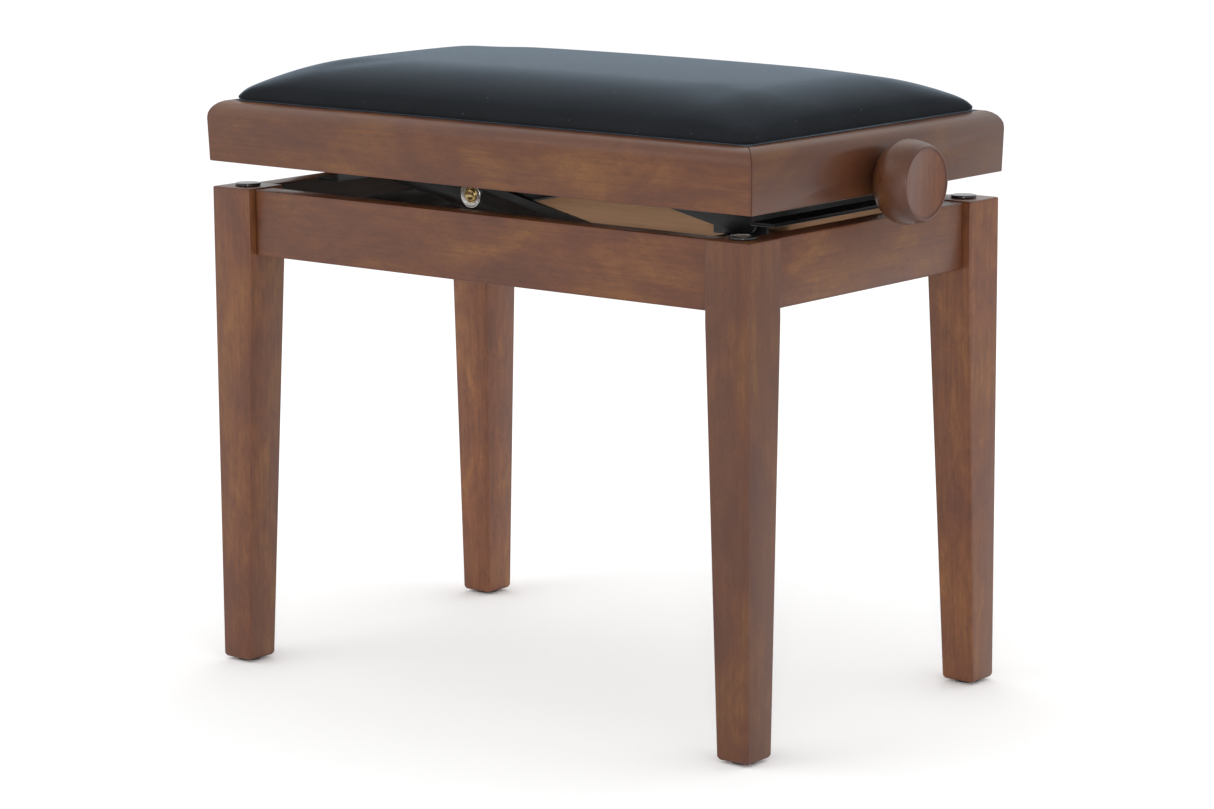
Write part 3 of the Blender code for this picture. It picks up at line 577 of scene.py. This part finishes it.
def make_pads_and_glides():
    """Domed pads on the legs and flat glides under them."""
    for place in [f"{front}_{left}" for front in SIDES for left in ENDS]:
        centre, size = middle(f"pad_{place}")
        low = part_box(f"pad_{place}")[0].z
        radius = size.x / 2
        profile = [(0.0, 0.0), (0.0, radius - 0.0004), (0.0004, radius)]
        profile += arc((size.z - 0.0011, radius - 0.0009), 0.0009, 90, 10)
        profile += [(size.z - 0.0001, radius * 0.55), (size.z, 0.0)]
        piece = turned(f"pad_{place}_domed", profile, "Z", (centre.x, centre.y, low))
        adopt(piece, f"pad_{place}", materials=[RUBBER])

        centre, size = middle(f"glide_{place}")
        radius = size.x / 2
        profile = [(0.0, 0.0), (0.0, radius - 0.0010)]
        profile += arc((0.0008, radius - 0.0008), 0.0008, 180, 90, 4)
        profile += [(size.z, radius), (size.z, 0.0)]
        piece = turned(f"glide_{place}_disc", profile, "Z", (centre.x, centre.y, 0.0))
        adopt(piece, f"glide_{place}", materials=[PLASTIC])


def make_bushes_and_collars():
    """Plastic bushes round the spindle and its steel collars, with eased edges."""
    for end in ENDS:
        refined(f"spindle_bush_{end}", [PLASTIC], BUSH_EASE)
        refined(f"frame_bush_{end}", [PLASTIC], BUSH_EASE)
        refined(f"thrust_collar_{end}", [BLACK_PAINT], BLOCK_EASE)


def cross_recess(piece, centre):
    """Cut a cross-shaped recess into a screw head that looks along Y."""
    cutters = []
    for turn in RECESS_TURNS:
        data = bmesh.new()
        bmesh.ops.create_cube(data, size=1.0)
        bmesh.ops.scale(data, vec=(*RECESS_SLOT, RECESS_DEPTH * 2), verts=data.verts)
        stand = Matrix.Rotation(math.pi / 2, 4, "X")
        spin = Matrix.Rotation(math.radians(turn), 4, "Z")
        bmesh.ops.transform(data, matrix=Matrix.Translation(centre) @ stand @ spin, verts=data.verts)
        cutters.append(finish_mesh("recess", data))
    for cutter in cutters:
        modifier = piece.modifiers.new("recess", "BOOLEAN")
        modifier.object = cutter
        modifier.solver = "EXACT"
    bpy.context.view_layer.objects.active = piece
    piece.select_set(True)
    for name in [modifier.name for modifier in piece.modifiers]:
        bpy.ops.object.modifier_apply(modifier=name)
    piece.select_set(False)
    for cutter in cutters:
        bpy.data.objects.remove(cutter, do_unlink=True)


def make_screws():
    """Pan-head screws through the channel tabs."""
    for node in [name for name in SLOT_OF if name.startswith("channel_screw")]:
        centre, size = middle(node)
        low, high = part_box(node)
        side = 1 if centre.y > 0 else -1
        head = low.y if side > 0 else high.y
        radius = size.x / 2
        profile = [(0.0, 0.0)] + arc((0.0010, radius - 0.0010), 0.0010, 180, 90, 4)
        profile += [(0.0021, radius), (0.0021, 0.0024), (size.y - 0.003, 0.0022), (size.y, 0.0)]
        placed = [(side * distance, ring) for distance, ring in profile]
        head_centre = (centre.x, head, centre.z)
        piece = turned(f"{node}_panhead", placed, "Y", head_centre, SMALL_SIDES)
        cross_recess(piece, head_centre)
        adopt(piece, node, materials=[ZINC])


def ringed_head(plate, radius):
    """Profiles of a bright dished plate and of the yellow hollow rivet in its middle."""
    dish = [(plate, 0.0), (plate, radius - 0.0003), (plate - 0.0004, radius), (0.0010, radius)]
    dish += arc((0.0010, radius - 0.0007), 0.0007, 90, 180, 4)
    dish += [(0.0011, radius * 0.74), (0.0011, 0.0)]
    collar = [(0.0012, 0.0), (0.0009, radius * 0.22), (0.0004, radius * 0.30)]
    collar += arc((0.0006, radius * 0.40), 0.0006, 180, 110, 3)
    collar += [(0.0009, radius * 0.48), (0.0006, radius * 0.56), (0.0010, radius * 0.64), (0.0014, 0.0)]
    return dish, collar


def make_bolts():
    """Pivot bolts and middle rivets: bright dished plate with a yellow hollow rivet in it.

    The plate is on the outside of a middle rivet and on the inside of a pivot bolt.
    """
    for node in [name for name in SLOT_OF if "pivot_bolt" in name or "rivet" in name]:
        centre, size = middle(node)
        low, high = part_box(node)
        side = 1 if centre.y > 0 else -1
        inside, outside = (low.y, high.y) if side > 0 else (high.y, low.y)
        radius = size.x / 2
        if "rivet" in node:
            start, direction, shank, plate = outside, -side, 0.0045, 0.0020
        else:
            start, direction, shank, plate = inside, side, 0.0050, 0.0040
        dish, collar = ringed_head(plate, radius)
        body = [(plate - 0.0002, 0.0), (plate - 0.0002, shank), (size.y - 0.0022, shank),
                (size.y - 0.0022, radius * 0.86), (size.y - 0.0006, radius * 0.84),
                (size.y, radius * 0.72), (size.y, 0.0)]
        built = []
        for part, profile, material in (("plate", dish, ZINC), ("collar", collar, YELLOW_ZINC),
                                        ("shank", body, ZINC)):
            placed = [(direction * distance, ring) for distance, ring in profile]
            piece = turned(f"{node}_{part}", placed, "Y", (centre.x, start, centre.z), BOLT_SIDES)
            piece.data.materials.append(material)
            built.append(piece)
        adopt(built[0], node)
        for piece in built[1:]:
            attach(piece, BODY_OF[node])


def thread_radius(x, turn_share, radius, start, end):
    """Radius of the thread at a place along the spindle and a share of a turn round it."""
    phase = (x / THREAD_PITCH - turn_share) % 1.0
    flank = min(max(abs(phase - 0.5) * 4 - 0.5, 0.0), 1.0)
    fade = min(1.0, (x - start) / THREAD_PITCH, (end - x) / THREAD_PITCH)
    return radius - THREAD_DEPTH * flank * fade


def make_spindle():
    """Spindle with a real helical thread over the stretch that the nut travels."""
    centre, size = middle("spindle")
    radius, half = size.z / 2, size.x / 2
    nut_centre = middle("nut_bar")[0]
    start, end = nut_centre.x - THREAD_BEFORE_NUT, nut_centre.x + THREAD_AFTER_NUT
    count = round((end - start) / THREAD_PITCH * THREAD_RINGS_PER_TURN)
    stations = [(-half, "tip"), (-half + SPINDLE_EASE, "plain"), (start - 0.002, "plain")]
    stations += [(start + (end - start) * ring / count, "thread") for ring in range(count + 1)]
    stations += [(end + 0.002, "plain"), (half - SPINDLE_EASE, "plain"), (half, "tip")]
    data = bmesh.new()
    loops = []
    for x, kind in stations:
        loop = []
        for corner in range(SMALL_SIDES):
            turn = math.tau * corner / SMALL_SIDES
            if kind == "thread":
                reach = thread_radius(x, corner / SMALL_SIDES, radius, start, end)
            else:
                reach = radius - SPINDLE_EASE if kind == "tip" else radius
            loop.append(data.verts.new((x, reach * math.cos(turn), centre.z + reach * math.sin(turn))))
        loops.append(loop)
    for left, right in zip(loops, loops[1:]):
        for corner in range(SMALL_SIDES):
            following = (corner + 1) % SMALL_SIDES
            data.faces.new((left[corner], left[following], right[following], right[corner]))
    data.faces.new(loops[0])
    data.faces.new(loops[-1])
    adopt(finish_mesh("spindle_threaded", data, 40), "spindle", materials=[ZINC])


def make_nut():
    """Nut block and cross bar with eased edges."""
    refined("nut_bar", [ZINC], BLOCK_EASE)


# ---------------------------------------------------------------- cushion
def cushion_height(x, y, half_x, half_y, height):
    """Height of the cushion's top over its base at a place."""
    rise = 1.0
    for place, half, slope in ((x, half_x, CUSHION_SLOPE_X), (y, half_y, CUSHION_SLOPE_Y)):
        share = min(max((half - abs(place)) / slope, 0.0), 1.0)
        rise *= (1 - (1 - share) ** CUSHION_FALL) ** (1 / CUSHION_BULGE)
    crown = CUSHION_CROWN * (1 - (x / half_x) ** 2) * (1 - (y / half_y) ** 2)
    return CUSHION_LIP + (height - CUSHION_LIP - CUSHION_CROWN) * rise + crown


def corner_pull(u, v, half_x, half_y, radius):
    """Where a place on the square grid lies on the outline with round corners."""
    x, y = u * half_x, v * half_y
    over_x, over_y = abs(x) - (half_x - radius), abs(y) - (half_y - radius)
    if over_x > 0 and over_y > 0:
        reach = max(over_x, over_y)
        length = math.hypot(over_x, over_y)
        x = math.copysign(half_x - radius + over_x * reach / length, x)
        y = math.copysign(half_y - radius + over_y * reach / length, y)
    return x, y


def cushion_blank():
    """The pad before it swells: a fine grid on top, a rolled lower edge and a flat underside."""
    low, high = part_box("seat_cushion")
    half_x, half_y = high.x, high.y
    height = high.z - low.z - CUSHION_ROLL - SWELL_KEPT * ROOM_FOR_SWELL
    data = bmesh.new()
    top, bottom = [], []
    for row in range(CUSHION_ROWS + 1):
        top.append([])
        bottom.append([])
        for column in range(CUSHION_COLUMNS + 1):
            u, v = 2 * column / CUSHION_COLUMNS - 1, 2 * row / CUSHION_ROWS - 1
            x, y = corner_pull(u, v, half_x, half_y, CUSHION_CORNER)
            rise = cushion_height(u * half_x, v * half_y, half_x, half_y, height)
            top[-1].append(data.verts.new((x, y, low.z + CUSHION_ROLL + rise)))
            inset_x, inset_y = (half - CUSHION_ROLL for half in (half_x, half_y))
            x, y = corner_pull(u, v, inset_x, inset_y, CUSHION_CORNER - CUSHION_ROLL)
            bottom[-1].append(data.verts.new((x, y, low.z)))
    for grid in (top, bottom):
        for lower, upper in zip(grid, grid[1:]):
            for column in range(CUSHION_COLUMNS):
                data.faces.new((lower[column], lower[column + 1], upper[column + 1], upper[column]))
    walk = [(0, column) for column in range(CUSHION_COLUMNS)]
    walk += [(row, CUSHION_COLUMNS) for row in range(CUSHION_ROWS)]
    walk += [(CUSHION_ROWS, column) for column in range(CUSHION_COLUMNS, 0, -1)]
    walk += [(row, 0) for row in range(CUSHION_ROWS, 0, -1)]
    for (row_a, column_a), (row_b, column_b) in zip(walk, walk[1:] + walk[:1]):
        data.faces.new((bottom[row_a][column_a], bottom[row_b][column_b],
                        top[row_b][column_b], top[row_a][column_a]))
    return finish_mesh("cushion_velvet", data, 180), low.z


def swell(piece, floor):
    """Inflate the pad as cloth with its underside held, and keep a smooth, small share of it."""
    rest = [vertex.co.copy() for vertex in piece.data.vertices]
    held = piece.vertex_groups.new(name="held")
    held.add([v.index for v in piece.data.vertices if v.co.z < floor + HELD_HEIGHT], 1.0, "REPLACE")
    cloth = piece.modifiers.new("cloth", "CLOTH")
    cloth.settings.vertex_group_mass = "held"
    cloth.settings.use_pressure = True
    cloth.settings.uniform_pressure_force = CLOTH_PRESSURE
    cloth.settings.effector_weights.gravity = 0.0
    cloth.settings.tension_stiffness = CLOTH_STIFFNESS
    cloth.settings.compression_stiffness = CLOTH_STIFFNESS
    cloth.settings.bending_stiffness = CLOTH_BENDING
    cloth.point_cache.frame_end = CLOTH_FRAMES
    scene = bpy.context.scene
    for number in range(1, CLOTH_FRAMES + 1):
        scene.frame_set(number)
    evaluated = piece.evaluated_get(bpy.context.evaluated_depsgraph_get())
    steps = [after.co - before for after, before in zip(evaluated.data.vertices, rest)]
    piece.modifiers.clear()
    scene.frame_set(1)
    for step in steps:
        step.length = min(step.length, SWELL_CAP)
    neighbours = [[] for _ in rest]
    for edge in piece.data.edges:
        first, second = edge.vertices
        neighbours[first].append(second)
        neighbours[second].append(first)
    for _ in range(SWELL_SMOOTHING):
        steps = [(step + sum((steps[n] for n in near), Vector())) / (len(near) + 1)
                 for step, near in zip(steps, neighbours)]
    largest = max(step.length for step in steps)
    for vertex, before, step in zip(piece.data.vertices, rest, steps):
        if before.z > floor + HELD_HEIGHT:
            vertex.co = before + step * (SWELL_KEPT / largest)


def make_cushion():
    """Velvet cushion: fine blank, cloth swelling, one subdivision."""
    piece, floor = cushion_blank()
    swell(piece, floor)
    fine = piece.modifiers.new("fine", "SUBSURF")
    fine.levels = 1
    fine.render_levels = 1
    piece.data.shade_smooth()
    adopt(piece, "seat_cushion", materials=[VELVET])


# ---------------------------------------------------------------- studio
def add_area_light(name, location, target, size, power):
    """A white soft box that faces a target."""
    light = bpy.data.lights.new(name, "AREA")
    light.shape = "RECTANGLE"
    light.size, light.size_y = size
    light.energy = power
    holder = bpy.data.objects.new(name, light)
    holder.location = location
    aim = Vector(target) - Vector(location)
    holder.rotation_euler = aim.to_track_quat("-Z", "Y").to_euler()
    bpy.context.scene.collection.objects.link(holder)


def make_studio():
    """Pale floor, even white surroundings and soft boxes."""
    data = bmesh.new()
    bmesh.ops.create_grid(data, x_segments=1, y_segments=1, size=FLOOR_HALF)
    floor = finish_mesh("floor", data)
    nodes = Nodes("pale_floor")
    nodes.set(Base_Color=FLOOR_COLOUR, Roughness=0.9, Specular_IOR_Level=0.1)
    floor.data.materials.append(nodes.material)

    world = bpy.data.worlds.new("studio")
    world.use_nodes = True
    background = world.node_tree.nodes["Background"]
    background.inputs["Color"].default_value = (1.0, 1.0, 1.0, 1.0)
    background.inputs["Strength"].default_value = WORLD_STRENGTH
    bpy.context.scene.world = world
    bpy.context.scene.view_settings.view_transform = "Standard"
    for light in LIGHTS:
        add_area_light(*light)


def make_camera():
    """The camera at the bench's viewing angle."""
    azimuth, elevation = math.radians(CAMERA_AZIMUTH), math.radians(CAMERA_ELEVATION)
    right = Vector((math.cos(azimuth), math.sin(azimuth), 0.0))
    back = Vector((math.sin(azimuth) * math.cos(elevation),
                   -math.cos(azimuth) * math.cos(elevation), math.sin(elevation)))
    camera = bpy.data.cameras.new("camera")
    camera.lens = CAMERA_LENS
    camera.sensor_width = SENSOR_WIDTH
    camera.shift_x = CAMERA_SHIFT
    camera.clip_end = 100.0
    holder = bpy.data.objects.new("camera", camera)
    holder.location = right * AIM_ALONG + Vector((0, 0, AIM_HEIGHT)) + back * CAMERA_DISTANCE
    holder.rotation_euler = (-back).to_track_quat("-Z", "Y").to_euler()
    bpy.context.scene.collection.objects.link(holder)
    bpy.context.scene.camera = holder


make_camera()
make_studio()
make_wood()
make_steel()
make_knobs()
make_pads_and_glides()
make_bushes_and_collars()
make_screws()
make_bolts()
make_spindle()
make_nut()
make_cushion()
